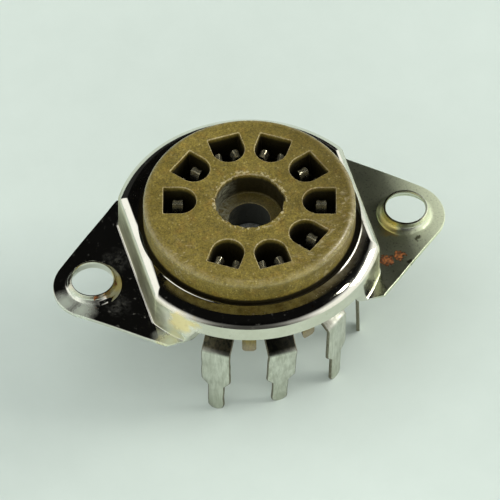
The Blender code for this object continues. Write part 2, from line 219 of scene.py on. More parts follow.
def turned(name, profile, steps=TURN, turn=0.0, wobble=None):
    """A profile of (radius, height) points turned about Z; wobble can move each point."""
    rings = []
    for radius, height in profile:
        ring = [polar(radius, turn + math.tau * i / steps, height) for i in range(steps)]
        rings.append([wobble(point) for point in ring] if wobble else ring)
    return loft(name, rings)


def prism(name, outline, low, high):
    """A flat outline made into a solid between two heights."""
    return loft(name, [[(x, y, z) for x, y in outline] for z in (low, high)])


def placed(piece, matrix):
    piece.data.transform(matrix)
    return piece


def combine(target, operation, cutter):
    """Cut, join or keep common with another solid, which is used up."""
    step = target.modifiers.new(operation, "BOOLEAN")
    step.operation = operation
    step.solver = "EXACT"
    step.object = cutter
    bake(target)
    bpy.data.objects.remove(cutter, do_unlink=True)


def bake(piece):
    """Turn a piece's modifiers into its mesh."""
    bpy.context.view_layer.update()
    evaluated = piece.evaluated_get(bpy.context.evaluated_depsgraph_get())
    mesh = bpy.data.meshes.new_from_object(evaluated)
    piece.modifiers.clear()
    piece.data = mesh


def edit(piece, action):
    work = bmesh.new()
    work.from_mesh(piece.data)
    action(work)
    work.to_mesh(piece.data)
    work.free()


def round_edges(piece, chosen, width, segments=2):
    """Bevel the edges that a rule on their two ends picks out."""
    def mark(work):
        layer = work.edges.layers.float.new("bevel_weight_edge")
        for edge in work.edges:
            if len(edge.link_faces) == 2 and edge.calc_face_angle(0) > math.radians(30):
                if chosen(edge.verts[0].co, edge.verts[1].co):
                    edge[layer] = 1.0
    edit(piece, mark)
    step = piece.modifiers.new("Rounding", "BEVEL")
    step.limit_method = "WEIGHT"
    step.width = width
    step.segments = segments
    step.use_clamp_overlap = True
    bake(piece)


def smooth(piece, angle=35):
    piece.data.shade_smooth()
    piece.data.set_sharp_from_angle(angle=math.radians(angle))
    step = piece.modifiers.new("Even normals", "WEIGHTED_NORMAL")
    step.keep_sharp = True
    step.weight = 60


def contact_angle(number):
    return EMPTY_POSITION + POSITION_STEP * number


# Saddle

def flatted_disc(radius, half_width, corner):
    """Outline of a disc with two straight sides and rounded corners between."""
    centre_x = half_width - corner
    centre_y = math.sqrt((radius - corner) ** 2 - centre_x ** 2)
    turn = math.atan2(centre_y, centre_x)
    quarter = arc((centre_x, centre_y), corner, 0, turn, 6)
    quarter += arc((0, 0), radius, turn, math.pi / 2, 30)[1:]
    left = [(-x, y) for x, y in reversed(quarter[:-1])]
    back = quarter + left
    front = [(-x, -y) for x, y in back]
    return back + front


def boss_ring(inset, height, wall=0.0):
    """One level of the boss. Its straight sides lean out a little, and its round ones are softer on top."""
    lean = BOSS_LEAN * (SHELF - height) / (SHELF - EAR_TOP)
    radius = BOSS_RADIUS - inset - BOSS_STRETCH * max(0.0, inset - wall)
    outline = flatted_disc(radius, BOSS_HALF_WIDTH + lean - inset, BOSS_CORNER - inset)
    return [(x + BOSS_OFFSET, y, height) for x, y in outline]


def rounded_top(inset, top, rounding, ring, flatness=0.0):
    """Rings that turn from a wall into a flat top: a quarter circle, or flattened towards a bevel."""
    rings = []
    for i in range(QUARTER + 1):
        share = i / QUARTER
        angle = math.pi / 2 * share
        run = (1 - math.cos(angle)) * (1 - flatness) + share * flatness
        drop = (1 - math.sin(angle)) * (1 - flatness) + (1 - share) * flatness
        rings.append(ring(inset + rounding * run, top - rounding * drop))
    return rings


def boss_shell():
    """The outside of the boss, spreading into its foot where it is bent out of the ears."""
    rings = [boss_ring(-FOOT_FILLET, LEG_BOTTOM), boss_ring(-FOOT_FILLET, EAR_TOP)]
    for inwards, up in fillet():
        rings.append(boss_ring(-FOOT_FILLET * (1 - inwards), EAR_TOP + FOOT_FILLET * up))
    top = rounded_top(0, SHELF, BOSS_ROUNDING, boss_ring, BOSS_FLATNESS)
    return loft("mounting_saddle_fine", rings + top)


def boss_pocket():
    """The hollow under the boss, widening at the bottom round the bend into the ears."""
    rings = [boss_ring(SHEET - POCKET_BEND, LEG_BOTTOM - MM), boss_ring(SHEET - POCKET_BEND, EAR_BOTTOM)]
    for inwards, up in fillet():
        rings.append(boss_ring(SHEET - POCKET_BEND * (1 - inwards), EAR_BOTTOM + POCKET_BEND * up))

    def pocket_ring(inset, height):
        return boss_ring(inset, height, SHEET)

    return loft("pocket", rings + rounded_top(SHEET, SHELF - SHEET, BOSS_ROUNDING / 2, pocket_ring))


def aperture_lip(middle, half):
    """One stretch of the burr that the punch turned up round the aperture, fading out at its ends."""
    steps = 32
    base = SHELF - 0.015 * MM
    root = SHELF - SHEET / 2
    sections = []
    for i in range(steps + 1):
        away = half * (2 * i / steps - 1)
        share = min(1.0, (half - abs(away)) / LIP_FADE)
        section = [(LIP_SECTION[0][0] * MM, root)]
        section += [(run * MM, base + (rise + 0.012) * MM * share) for run, rise in LIP_SECTION]
        section += [(LIP_SECTION[-1][0] * MM, root)]
        sections.append([polar(APERTURE_RADIUS + run, middle + away, height) for run, height in section])
    return loft("lip", sections)


def ear_ring(inset, height):
    """Both ears and the plate between them."""
    hull = EAR_HULL_RADIUS - inset
    tip = EAR_TIP_RADIUS - inset
    tangent = math.acos((hull - tip) / EAR_REACH)
    shoulder_x = hull * math.cos(tangent)
    shoulder_y = hull * math.sin(tangent)
    half = arc((EAR_REACH, 0), tip, -tangent, tangent, 28)
    half += [(shoulder_x, shoulder_y), (-shoulder_x, shoulder_y)]
    return [(x, y, height) for x, y in half] + [(-x, -y, height) for x, y in half]


def ear_plate():
    edge = 0.07 * MM
    rings = [ear_ring(edge, EAR_BOTTOM)]
    for inwards, up in fillet(3):
        rings.append(ear_ring(edge * (1 - inwards), EAR_BOTTOM + edge * up))
    rings += rounded_top(0, EAR_TOP, edge, ear_ring)
    return loft("ear_plate", rings)


def notch(side):
    """The sheet missing below the skirt, in front and behind, between the ears."""
    outline = [
        (EAR_HALF_WIDTH, LEG_BOTTOM - MM),
        (EAR_HALF_WIDTH, EAR_BOTTOM),
        (EAR_HALF_WIDTH + NOTCH_RUN, SKIRT_BOTTOM),
        (2 * BOSS_RADIUS, SKIRT_BOTTOM),
        (2 * BOSS_RADIUS, LEG_BOTTOM - MM),
    ]
    return loft("notch", [[(x, side * y, z) for y, z in outline] for x in (-2 * EAR_REACH, 2 * EAR_REACH)])


def crimp_tab(angle):
    start = angle - CRIMP_HALF_ANGLE
    end = angle + CRIMP_HALF_ANGLE
    outer = arc((0, 0), BOSS_RADIUS - SHEET / 2, start, end, 8)
    inner = arc((0, 0), CRIMP_INNER_RADIUS, end, start, 8)
    return prism("crimp_tab", outer + inner, SKIRT_BOTTOM, SKIRT_BOTTOM + SHEET)


def collar(centre_x, seed):
    """The flared collar that the punch left round a screw hole, with an uneven rim."""
    def uneven(point):
        share = max(0.0, (point.z - EAR_TOP) / COLLAR_HEIGHT)
        lift = noise.noise(Vector((point.x * 900, point.y * 900, seed))) * 0.09 * MM * share
        return point + Vector((0, 0, lift))

    profile = [(COLLAR_BASE_RADIUS - 0.02 * MM, EAR_TOP - SHEET / 2), (COLLAR_BASE_RADIUS, EAR_TOP)]
    throat = COLLAR_RIM_RADIUS + 0.05 * MM
    sweep = COLLAR_BASE_RADIUS - throat
    for inwards, up in fillet():
        profile.append((COLLAR_BASE_RADIUS - sweep * inwards, EAR_TOP + COLLAR_FLARE * up))
    profile += stepped(throat, COLLAR_TOP, [(-0.02, -0.08), (-0.035, -0.03), (-0.08, 0.0)])
    return placed(turned("collar", profile, 96, 0.01, uneven), Matrix.Translation((centre_x, 0, 0)))


def screw_hole(side):
    """The bore through collar and ear, rounded at the rim and widening downwards."""
    bore, spread = COLLAR_BORES[side]
    profile = stepped(bore + 0.3 * spread, EAR_BOTTOM, [(0.62, -SHEET / MM), (0.6, 0.02)])
    profile += stepped(bore + 0.5 * spread, EAR_BOTTOM, [(0.3, 0.14)])
    profile += stepped(bore + spread, EAR_BOTTOM, [(0.03, 0.3)])
    profile += stepped(bore + 0.7 * spread, EAR_TOP, [(0.0, 0.15)])
    profile += stepped(bore + 0.3 * spread, EAR_TOP, [(0.0, 0.4)])
    profile += stepped(bore, COLLAR_TOP, [(0.02, -0.15), (0.07, -0.04), (0.11, 0.03), (0.4, 0.4)])
    return placed(turned("screw_hole", profile, 96, 0.04), Matrix.Translation((side * EAR_REACH, 0, 0)))


def rim_crack(centre_x, angle, depth):
    """A thin wedge out of a collar's rim, where the drawn metal tore."""
    rim = COLLAR_TOP + 0.15 * MM
    outline = [(-0.07 * MM, rim), (0.07 * MM, rim), (0.0, rim - depth)]
    wedge = loft("crack", [[(x, y, z) for y, z in outline] for x in (1.4 * MM, 2.3 * MM)])
    return placed(wedge, Matrix.Translation((centre_x, 0, 0)) @ Matrix.Rotation(angle, 4, "Z"))


def bend_ears(work):
    """The ears sag a little beside the boss and droop at their ends, as a pressing's do."""
    planes = [SAG_START + 0.15 * MM * i for i in range(11)]
    planes += [DROOP_START + (SADDLE_HIGH.x - DROOP_START) * i / 14 for i in range(14)]
    for side in (1, -1):
        for plane in planes:
            everything = work.verts[:] + work.edges[:] + work.faces[:]
            bmesh.ops.bisect_plane(
                work, geom=everything, plane_co=(side * plane, 0, 0), plane_no=(1, 0, 0), dist=1e-7)
    for vertex in work.verts:
        away = abs(vertex.co.x)
        vertex.co.z -= EAR_DROOP * max(0.0, away - DROOP_START) ** 2
        if vertex.co.z < EAR_TOP + 0.001 * MM:
            share = min(1.0, max(0.0, (away - SAG_START) / SAG_RUN))
            vertex.co.z -= EAR_SAG * share * (2 - share)


def build_saddle(surface):
    saddle = boss_shell()
    below = prism("below", [(x, y) for x, y, z in ear_ring(-MM, 0)], LEG_BOTTOM - MM, EAR_BOTTOM + SHEET / 2)
    combine(saddle, "DIFFERENCE", below)
    combine(saddle, "UNION", ear_plate())
    combine(saddle, "DIFFERENCE", boss_pocket())
    for middle, half in LIP_ARCS:
        combine(saddle, "UNION", aperture_lip(middle, half))
    aperture = [(APERTURE_RADIUS, SHELF - SHEET - 0.1 * MM), (APERTURE_RADIUS, SHELF + MM)]
    combine(saddle, "DIFFERENCE", turned("aperture", aperture, TURN, 0.013))
    for side in (1, -1):
        combine(saddle, "DIFFERENCE", notch(side))
    for angle in CRIMP_ANGLES:
        combine(saddle, "UNION", crimp_tab(angle))
    for side in (1, -1):
        combine(saddle, "UNION", collar(side * EAR_REACH, side * 3.7))
        combine(saddle, "DIFFERENCE", screw_hole(side))
    for side, azimuth, depth in RIM_CRACKS:
        combine(saddle, "DIFFERENCE", rim_crack(side * EAR_REACH, math.radians(azimuth), depth))
    edit(saddle, bend_ears)
    saddle.data.materials.append(surface)
    smooth(saddle)
    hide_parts("mounting_saddle")
    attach(saddle, "socket")


# Insulator and retainer

def hole_ring(spread, height):
    """A D with its round end at the pitch circle and its flat facing outwards."""
    half = HOLE_HALF_WIDTH + spread
    flat = HOLE_FLAT_RADIUS + spread
    corner = 0.12 * MM
    ring = arc((PITCH_RADIUS, 0), half, math.radians(90), math.radians(270), 24)
    ring += arc((flat - corner, -half + corner), corner, math.radians(-90), 0, 4)
    ring += arc((flat - corner, half - corner), corner, 0, math.radians(90), 4)
    return [(x, y, height) for x, y in ring]


def contact_hole(number):
    """The cutter for one hole: straight, then flaring where the mould rounded its mouth."""
    lip = 0.09 * MM
    rings = [hole_ring(0, FLOOR - MM), hole_ring(0, FACE - lip), hole_ring(0.3 * lip, FACE - 0.3 * lip)]
    rings += [hole_ring(lip, FACE + 0.01 * MM), hole_ring(lip, FACE + MM)]
    return placed(loft("contact_hole", rings), Matrix.Rotation(contact_angle(number), 4, "Z"))


def leg_slot(number):
    """The cutter for a tail's gap, wider at the legs' rounded corners."""
    inner = 0.8 * LEG_INNER_RADIUS
    outer = 1.5 * LEG_INNER_RADIUS
    rings = []
    for rise, flare in LEG_CORNERS:
        half = LEG_SLOT_HALF_WIDTH + flare * MM
        outline = [(inner, -half), (outer, -half), (outer, half), (inner, half)]
        rings.append([(x, y, LEG_BOTTOM + rise * MM) for x, y in outline])
    rings.append([(x, y, FLOOR - FIT_GAP) for x, y, z in rings[-1]])
    return placed(loft("leg_slot", rings), Matrix.Rotation(contact_angle(number), 4, "Z"))


def well():
    """The cutter for the inside: between the legs, the bore, its ledge and the chipped well."""
    profile = [(LEG_INNER_RADIUS, LEG_BOTTOM - MM), (LEG_INNER_RADIUS, FLOOR), (BORE_RADIUS, FLOOR)]
    profile += stepped(BORE_RADIUS, LEDGE, [(0.0, -0.16), (0.03, -0.06), (0.12, 0.0)])
    profile += stepped(WELL_RADIUS, LEDGE, [(-0.12, 0.0), (-0.03, 0.1)])
    profile += stepped(WELL_RADIUS, FACE, [(0.0, -0.45), (0.01, -0.16), (0.06, 0.01), (0.1, 1.0)])
    return turned("well", profile, TURN, 0.01, chipped)


def chipped(point):
    """Breaks the well's rim into small chips."""
    if point.z < FACE - 0.5 * MM:
        return point
    angle = math.atan2(point.y, point.x)
    chip = noise.noise(Vector((math.cos(angle) * 5, math.sin(angle) * 5, 2.5)))
    fine = noise.noise(Vector((math.cos(angle) * 17, math.sin(angle) * 17, 7.5)))
    spread = max(0.0, chip * 0.22 + fine * 0.12) * MM
    outward = Vector((point.x, point.y, 0)).normalized()
    return point + outward * spread


def on_rim(centre):
    """Whether a face's centre lies on the rounded mouth of a contact hole or of the bore."""
    from_axis = centre.to_2d().length
    in_face = from_axis < FACE_RADIUS - EDGE_ROUNDING
    by_bore = from_axis < BORE_RADIUS + 0.07 * MM
    hole_mouth = in_face and FACE - 0.12 * MM < centre.z < FACE - 0.001 * MM
    bore_mouth = by_bore and LEDGE - 0.16 * MM < centre.z < LEDGE - 0.001 * MM
    return hole_mouth or bore_mouth


def build_insulator(surface, rim_surface):
    flange_middle = (FLANGE_BOTTOM + SHELF - SHEET) / 2
    profile = [(LOWER_RADIUS, LEG_BOTTOM), (LOWER_RADIUS, flange_middle), (FACE_RADIUS, flange_middle)]
    edge = arc((FACE_RADIUS - EDGE_ROUNDING, FACE - EDGE_ROUNDING), EDGE_ROUNDING, 0, math.pi / 2, QUARTER)
    insulator = turned("insulator_body_fine", profile + edge)
    insulator.data.materials.append(surface)
    insulator.data.materials.append(rim_surface)

    flange_outline = flatted_disc(FLANGE_RADIUS, FLANGE_HALF_WIDTH, 0.5 * MM)
    combine(insulator, "UNION", prism("flange", flange_outline, FLANGE_BOTTOM, SHELF - SHEET - FIT_GAP))

    combine(insulator, "DIFFERENCE", well())
    for number in range(1, CONTACT_COUNT + 1):
        combine(insulator, "DIFFERENCE", contact_hole(number))
        combine(insulator, "DIFFERENCE", leg_slot(number))

    foot = LEG_BOTTOM + 0.01 * MM
    leg_top = FLOOR - 2 * FIT_GAP
    round_edges(insulator, lambda a, b: max(a.z, b.z) < leg_top and min(a.z, b.z) < foot, 0.12 * MM, 3)
    for polygon in insulator.data.polygons:
        polygon.material_index = 1 if on_rim(polygon.center) else 0
    smooth(insulator)
    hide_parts("insulator_body")
    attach(insulator, "socket")


def build_retainer(surface):
    """The wafer that closes the insulator from below, with a spigot pressed into the bore."""
    wafer_radius = RETAINER_HIGH.x
    spigot_radius = BORE_RADIUS - FIT_GAP
    top = FLOOR - FIT_GAP
    edge = 0.15 * MM
    profile = [(0.45 * MM, RETAINER_LOW.z + 0.3 * MM), (0.6 * MM, RETAINER_LOW.z)]
    profile += arc((wafer_radius - edge, RETAINER_LOW.z + edge), edge, -math.pi / 2, 0, 4)
    profile += [(wafer_radius, top), (spigot_radius, top)]
    profile += arc((spigot_radius - edge, RETAINER_HIGH.z - edge), edge, 0, math.pi / 2, 4)
    profile += [(0.5 * MM, RETAINER_HIGH.z), (0.4 * MM, RETAINER_HIGH.z - 0.08 * MM)]
    retainer = turned("bottom_retainer_fine", profile)
    retainer.data.materials.append(surface)
    smooth(retainer)
    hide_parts("bottom_retainer")
    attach(retainer, "socket")


# Contacts and leaves

def rounded_path(corners, rounding, steps=6):
    """A line through corner points, with each inner corner turned into an arc."""
    points = [Vector(corners[0])]
    for before, corner, after in zip(corners, corners[1:], corners[2:]):
        corner = Vector(corner)
        back = (Vector(before) - corner).normalized()
        ahead = (Vector(after) - corner).normalized()
        half_angle = back.angle(ahead) / 2
        reach = rounding / math.tan(half_angle)
        centre = corner + (back + ahead).normalized() * rounding / math.sin(half_angle)
        start = corner + back * reach - centre
        sweep = start.angle_signed(corner + ahead * reach - centre)
        for i in range(steps + 1):
            turned_start = start.copy()
            turned_start.rotate(Matrix.Rotation(-sweep * i / steps, 2))
            points.append(centre + turned_start)
    points.append(Vector(corners[-1]))
    return points


def resampled(path, spacing):
    """The same line with points close enough to carry a changing width."""
    points = [path[0]]
    for start, end in zip(path, path[1:]):
        count = max(1, math.ceil((end - start).length / spacing))
        for i in range(1, count + 1):
            points.append(start.lerp(end, i / count))
    return points


def ribbon(name, path, thickness, half_widths, bow=None):
    """A strip along a path in XZ, with two half widths along Y at each point and rounded edges."""
    edge = 0.3 * thickness
    rings = []
    for i, point in enumerate(path):
        ahead = path[min(i + 1, len(path) - 1)] - path[max(i - 1, 0)]
        out = Vector((-ahead.y, ahead.x)).normalized() * thickness / 2
        left, right = half_widths(i)
        section = [
            (1.0, -left + edge), (0.75, -left + 0.25 * edge), (0.0, -left),
            (-0.75, -left + 0.25 * edge), (-1.0, -left + edge),
            (-1.0, 0.0), (-1.0, right - edge), (-0.75, right - 0.25 * edge), (0.0, right),
            (0.75, right - 0.25 * edge), (1.0, right - edge), (1.0, 0.0),
        ]
        ring = []
        for depth, across in section:
            shift = bow(i, across) if bow else 0.0
            x, z = point + out * depth + out.normalized() * shift
            ring.append((x, across, z))
        rings.append(ring)
    return loft(name, rings)


def tail_half_width(height, number, side):
    """Full width down to the shoulders, then a narrow tip with a rounded end."""
    share = min(1.0, max(0.0, (SHOULDER - height) / SHOULDER_HEIGHT))
    width = STEM_HALF_WIDTH + (TIP_HALF_WIDTH - STEM_HALF_WIDTH) * share
    if height < TIP_ROUNDING:
        drop = (TIP_ROUNDING - height) / TIP_ROUNDING
        width += TIP_ROUNDING * (math.sqrt(max(0.0, 1 - drop * drop)) - 1)
    burr = noise.noise(Vector((height / MM * 0.9, number * 3.1, side * 5.3))) * 0.05 * MM
    return width + (burr if TIP_ROUNDING < height < TAIL_BEND else 0.0)


def build_contact(number, face_surface, edge_surface):
    """Stem, outward slope and solder tail of one contact, stamped and bent from one strip."""
    slope_run = TAIL_RADIUS - STEM_RADIUS
    corners = [
        (STEM_RADIUS, STEM_TOP),
        (STEM_RADIUS, TAIL_BEND + slope_run),
        (TAIL_RADIUS, TAIL_BEND),
        (TIP_RADII[number - 1], 0.0),
    ]
    path = resampled(rounded_path(corners, TAIL_BEND_RADIUS), 0.14 * MM)
    fine_tip = [path[-1] + (path[-2] - path[-1]) * share for share in (0.6, 0.3, 0.12, 0.03)]
    path[-1:] = fine_tip + [path[-1]]

    def widths(i):
        return [tail_half_width(path[i].y, number, side) for side in (-1, 1)]

    def bow(i, across):
        below = max(0.0, TAIL_BEND - path[i].y)
        twist = noise.noise(Vector((number * 7.7, 0.5, 0.5))) * 0.05
        return across * twist * below / TAIL_BEND

    contact = ribbon(f"contact_{number}_fine", path, STRIP, widths, bow)
    contact.data.materials.append(face_surface)
    contact.data.materials.append(edge_surface)
    for polygon in contact.data.polygons:
        polygon.material_index = 1 if abs(polygon.normal.y) > 0.25 else 0
    placed(contact, Matrix.Rotation(contact_angle(number), 4, "Z"))
    smooth(contact, 50)
    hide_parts(f"contact_{number}")
    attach(contact, "socket")


def build_leaf(number, letter, surface):
    """One spring leaf: it leans in to grip the pin, and its rounded lead-in turns out again."""
    joint = JOINTS[f"leaf_{number}{letter}_flex"]
    corners = [(LEAF_FOOT_OFFSET - offset * MM, height * MM) for offset, height in LEAF_BENDS]
    path = resampled(rounded_path(corners, LEAF_BEND_RADIUS), 0.08 * MM)
    lengths = [0.0]
    for start, end in zip(path, path[1:]):
        lengths.append(lengths[-1] + (end - start).length)

    def widths(i):
        to_end = lengths[-1] - lengths[i]
        taper = min(1.0, max(0.0, to_end / MM - 1.0) / 1.6)
        half = LEAF_NECK + (LEAF_HALF_LENGTH - LEAF_NECK) * taper
        if to_end < LEAF_NECK:
            half = 0.1 * MM + (LEAF_NECK - 0.1 * MM) * math.sqrt(1 - (1 - to_end / LEAF_NECK) ** 2)
        return half, half

    def dome(i, across):
        height = max(0.0, path[i].y) / (5.4 * MM)
        return -LEAF_DOME * (across / LEAF_NECK) ** 2 * height ** 4

    leaf = ribbon(f"contact_{number}_leaf_{letter}_fine", path, LEAF_SHEET, widths, dome)
    outward = Vector(joint["axis"])
    inward = Vector((0, 0, 1)).cross(outward)
    foot = Vector(joint["pos_m"])
    basis = Matrix((inward, outward, Vector((0, 0, 1)))).transposed().to_4x4()
    placed(leaf, Matrix.Translation(foot) @ basis)
    leaf.data.materials.append(surface)
    smooth(leaf, 50)
    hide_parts(f"contact_{number}_leaf_{letter}")
    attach(leaf, joint["child"])


# Materials

class Nodes:
    """Short ways to add nodes to a tree. Every pattern runs on the tree's own coordinates."""

    def __init__(self, tree, coordinates):
        self.tree = tree
        self.place = self.node("ShaderNodeTexCoord").outputs[coordinates]

    def node(self, kind, **settings):
        made = self.tree.nodes.new(kind)
        for name, value in settings.items():
            setattr(made, name, value)
        return made

    def link(self, source, target):
        self.tree.links.new(source, target)

    def fill(self, made, values):
        for key, value in values.items():
            if isinstance(value, bpy.types.NodeSocket):
                self.link(value, made.inputs[key])
            else:
                made.inputs[key].default_value = value

    def stretched(self, scale):
        made = self.node("ShaderNodeMapping")
        self.fill(made, {"Vector": self.place, "Scale": scale})
        return made.outputs["Vector"]

    def along(self, axis):
        made = self.node("ShaderNodeSeparateXYZ")
        self.link(self.place, made.inputs[0])
        return made.outputs[axis]

    def from_axis(self):
        """The distance from the socket's axis."""
        made = self.node("ShaderNodeVectorMath", operation="LENGTH")
        self.link(self.stretched((1.0, 1.0, 0.0)), made.inputs[0])
        return made.outputs["Value"]

    def noise(self, size, detail=4.0, roughness=0.55, distortion=0.0, place=None):
        """Noise whose blotches are about the given size in millimetres."""
        made = self.node("ShaderNodeTexNoise")
        self.fill(made, {
            "Vector": place or self.place, "Scale": 1 / (size * MM), "Detail": detail,
            "Roughness": roughness, "Distortion": distortion})
        return made.outputs["Fac"]

    def ragged(self, size, reach, detail=4.0, roughness=0.55):
        """An uneven distance for the edges of spots, up to a reach in millimetres either way."""
        return self.between(self.noise(size, detail, roughness), 0.3, 0.7, -reach * MM, reach * MM)

    def grains(self, size):
        """Grains of a size in millimetres: a random share for each, and the distance from its middle."""
        made = self.node("ShaderNodeTexVoronoi")
        self.fill(made, {"Vector": self.place, "Scale": 1 / (size * MM)})
        split = self.node("ShaderNodeSeparateColor")
        self.link(made.outputs["Color"], split.inputs[0])
        return split.outputs[0], made.outputs["Distance"]

    def ramp(self, value, stops):
        """A grey or coloured ramp through (position, colour) stops."""
        made = self.node("ShaderNodeValToRGB")
        ramp = made.color_ramp
        while len(ramp.elements) < len(stops):
            ramp.elements.new(0.5)
        for element, (position, colour) in zip(ramp.elements, stops):
            element.position = position
            element.color = (colour,) * 3 + (1,) if isinstance(colour, float) else (*colour, 1)
        self.link(value, made.inputs["Fac"])
        return made.outputs["Color"]

    def maths(self, operation, first, *others):
        """One operation on a value, or worked through several values from the left."""
        for other in others or (0.0,):
            made = self.node("ShaderNodeMath", operation=operation)
            self.fill(made, {0: first, 1: other})
            first = made.outputs["Value"]
        return first

    def times(self, *values):
        return self.maths("MULTIPLY", *values)

    def between(self, value, low, high, start=0.0, end=1.0):
        """The value stretched from low..high to start..end, and clamped."""
        made = self.node("ShaderNodeMapRange")
        self.fill(made, {"Value": value, "From Min": low, "From Max": high, "To Min": start, "To Max": end})
        return made.outputs["Result"]

    def by_x(self, low, high, start=0.0, end=1.0):
        """Start..end as X goes from low to high, in millimetres."""
        return self.between(self.along("X"), low * MM, high * MM, start, end)

    def by_half_width(self, low, high, start=0.0, end=1.0):
        """Start..end as X on either side goes from low to high, in millimetres."""
        return self.between(self.maths("ABSOLUTE", self.along("X")), low * MM, high * MM, start, end)

    def by_height(self, level, low, high, start=0.0, end=1.0):
        """Start..end as the height over a level goes from low to high, in millimetres."""
        return self.between(self.along("Z"), level + low * MM, level + high * MM, start, end)

    def by_radius(self, low, high):
        """0..1 as the distance from the axis goes from low to high, in millimetres."""
        return self.between(self.from_axis(), low * MM, high * MM)

    def near(self, spots, ragged, core=0.6):
        """1 in the core of any of the spots (x, y, z, radius in mm), with ragged edges, and 0 outside."""
        shares = []
        for x, y, z, radius in spots:
            gap = self.node("ShaderNodeVectorMath", operation="DISTANCE")
            self.fill(gap, {0: self.place, 1: (x * MM, y * MM, z * MM)})
            rough = self.maths("ADD", gap.outputs["Value"], ragged)
            shares.append(self.between(rough, radius * MM, core * radius * MM))
        return self.maths("MAXIMUM", 0.0, *shares)

    def blend(self, share, first, second, mode="MIX"):
        made = self.node("ShaderNodeMix", data_type="RGBA", blend_type=mode)
        for name, value in (("Factor", share), ("A", first), ("B", second)):
            target = [s for s in made.inputs if s.name == name and s.enabled][0]
            if isinstance(value, bpy.types.NodeSocket):
                self.link(value, target)
            else:
                target.default_value = (*value, 1) if name != "Factor" else value
        return [s for s in made.outputs if s.name == "Result" and s.enabled][0]

    def layered(self, colour, layers):
        """A colour with (share, colour) layers laid over it in turn."""
        for share, over in layers:
            colour = self.blend(share, colour, over)
        return colour

    def bump(self, height, distance, strength=1.0, below=None):
        made = self.node("ShaderNodeBump")
        self.fill(made, {"Height": height, "Distance": distance * MM, "Strength": strength})
        if below is not None:
            self.link(below, made.inputs["Normal"])
        return made.outputs["Normal"]


class Surface(Nodes):
    """A new material, whose patterns run on the piece's own coordinates."""

    def __init__(self, name):
        self.material = bpy.data.materials.new(name)
        self.material.use_nodes = True
        super().__init__(self.material.node_tree, "Object")

    def finish(self, **inputs):
        names = {
            "colour": "Base Color", "roughness": "Roughness", "metallic": "Metallic", "normal": "Normal",
            "specular": "Specular IOR Level"}
        shader = self.tree.nodes["Principled BSDF"]
        self.fill(shader, {names[key]: value for key, value in inputs.items()})
        return self.material


RUBBED_SPOTS = [(5.2, -7.0, 17.4, 4.5), (8.2, -3.4, 17.2, 3.0), (-7.6, -4.6, 17.2, 2.2)]


def moulded(s, dark, light):
    """Mottled colour with reddish patches, fine grain and pale specks, deeper on the right."""
    base = s.ramp(s.noise(2.2, 6.0, 0.62), [(0.34, dark), (0.66, light)])
    reddish = s.between(s.noise(0.9, 3.0), 0.54, 0.7, 0.0, 0.5)
    base = s.blend(reddish, base, (light[0] * 0.95, light[1] * 0.75, light[2] * 0.6))
    speckle = s.ramp(s.noise(0.27, 3.0, 0.6), [(0.3, 0.55), (0.5, 1.0), (0.72, 1.45)])
    base = s.blend(0.6, base, speckle, "MULTIPLY")
    grain = s.ramp(s.noise(0.13, 2.0, 0.6), [(0.3, 0.45), (0.5, 1.0), (0.7, 1.6)])
    base = s.blend(0.85, base, grain, "MULTIPLY")
    pale = s.between(s.noise(0.5, 5.0, 0.7, 0.5), 0.55, 0.68, 0.0, 0.22)
    return s.layered(base, [
        (pale, (light[0] * 1.45, light[1] * 1.6, light[2] * 3.2)),
        (s.by_x(1.0, 8.5, 0.0, 0.5), (0.06, 0.042, 0.008)),
    ])


def rubbed_and_highlit(s, base, edge):
    """Pale wear along the edge of the face, partly a painted highlight on its rounded rim, and in scratched
    patches on it.
    """
    worn = s.between(s.noise(0.7, 5.0, 0.7), 0.35, 0.65, 0.1, 0.6)
    scratches = s.noise(0.55, 6.0, 0.74, 0.7, s.stretched((0.6, 1.4, 1.0)))
    scratches = s.between(scratches, 0.53, 0.64, 0.0, 0.6)
    return s.layered(base, [
        # Painted highlight and wear: the pale band along the rounded rim.
        (s.times(edge, worn), (0.34, 0.28, 0.12)),
        (s.times(s.near(RUBBED_SPOTS, s.ragged(1.5, 1.0), 0.3), scratches), (0.46, 0.40, 0.24)),
    ])


def painted_recess_shade(s, base, dirt_and_shade):
    """Painted shade: near black down the holes and in the crevice by the saddle, and grey in the bore."""
    # Painted shade: the holes, the crevice by the saddle and the bore grow darker with depth.
    hole_shade = s.times(s.by_radius(8.6, 8.4), s.by_height(FACE, -0.08, -0.6))
    ledge = s.times(s.by_radius(3.2, 3.1), s.by_height(FACE, -2.2, -2.45))
    hole_shade = s.maths("SUBTRACT", hole_shade, s.times(ledge, 0.4))
    crevice_shadow = s.times(s.by_radius(8.9, 9.0), s.by_height(SHELF, 0.28, 0.06))
    bore_shade = s.times(s.by_radius(1.85, 1.8), s.by_height(FACE, -2.5, -2.7))
    return s.layered(base, [
        (s.times(s.maths("MAXIMUM", hole_shade, crevice_shadow), dirt_and_shade), (0.006, 0.005, 0.002)),
        (s.times(bore_shade, dirt_and_shade), (0.058, 0.062, 0.054)),
    ])


def marked(s, base):
    """Lighter grey-olive streaks on the left wall of the well, bright chips round its rim, and dust on the
    legs.
    """
    left_wall_streaks = s.between(s.noise(0.45, 5.0, 0.7, 0.8, s.stretched((1.0, 1.0, 2.5))), 0.4, 0.6)
    left_wall_streaks = s.times(s.by_radius(3.2, 3.05), s.by_x(-0.2, -1.6), left_wall_streaks, s.by_height(FACE, -0.3, -0.9))
    chips = s.between(s.noise(0.3, 3.0, 0.6), 0.54, 0.6)
    chips = s.times(s.by_radius(3.5, 3.1), chips, s.by_height(FACE, -0.3, -0.15))
    return s.layered(base, [
        (s.times(left_wall_streaks, 0.7), (0.28, 0.28, 0.19)),
        (s.times(chips, 0.75), (0.50, 0.43, 0.24)),
        (s.times(s.by_height(LEG_BOTTOM, 1.4, 0.4), 0.55), (0.21, 0.19, 0.15)),
    ])


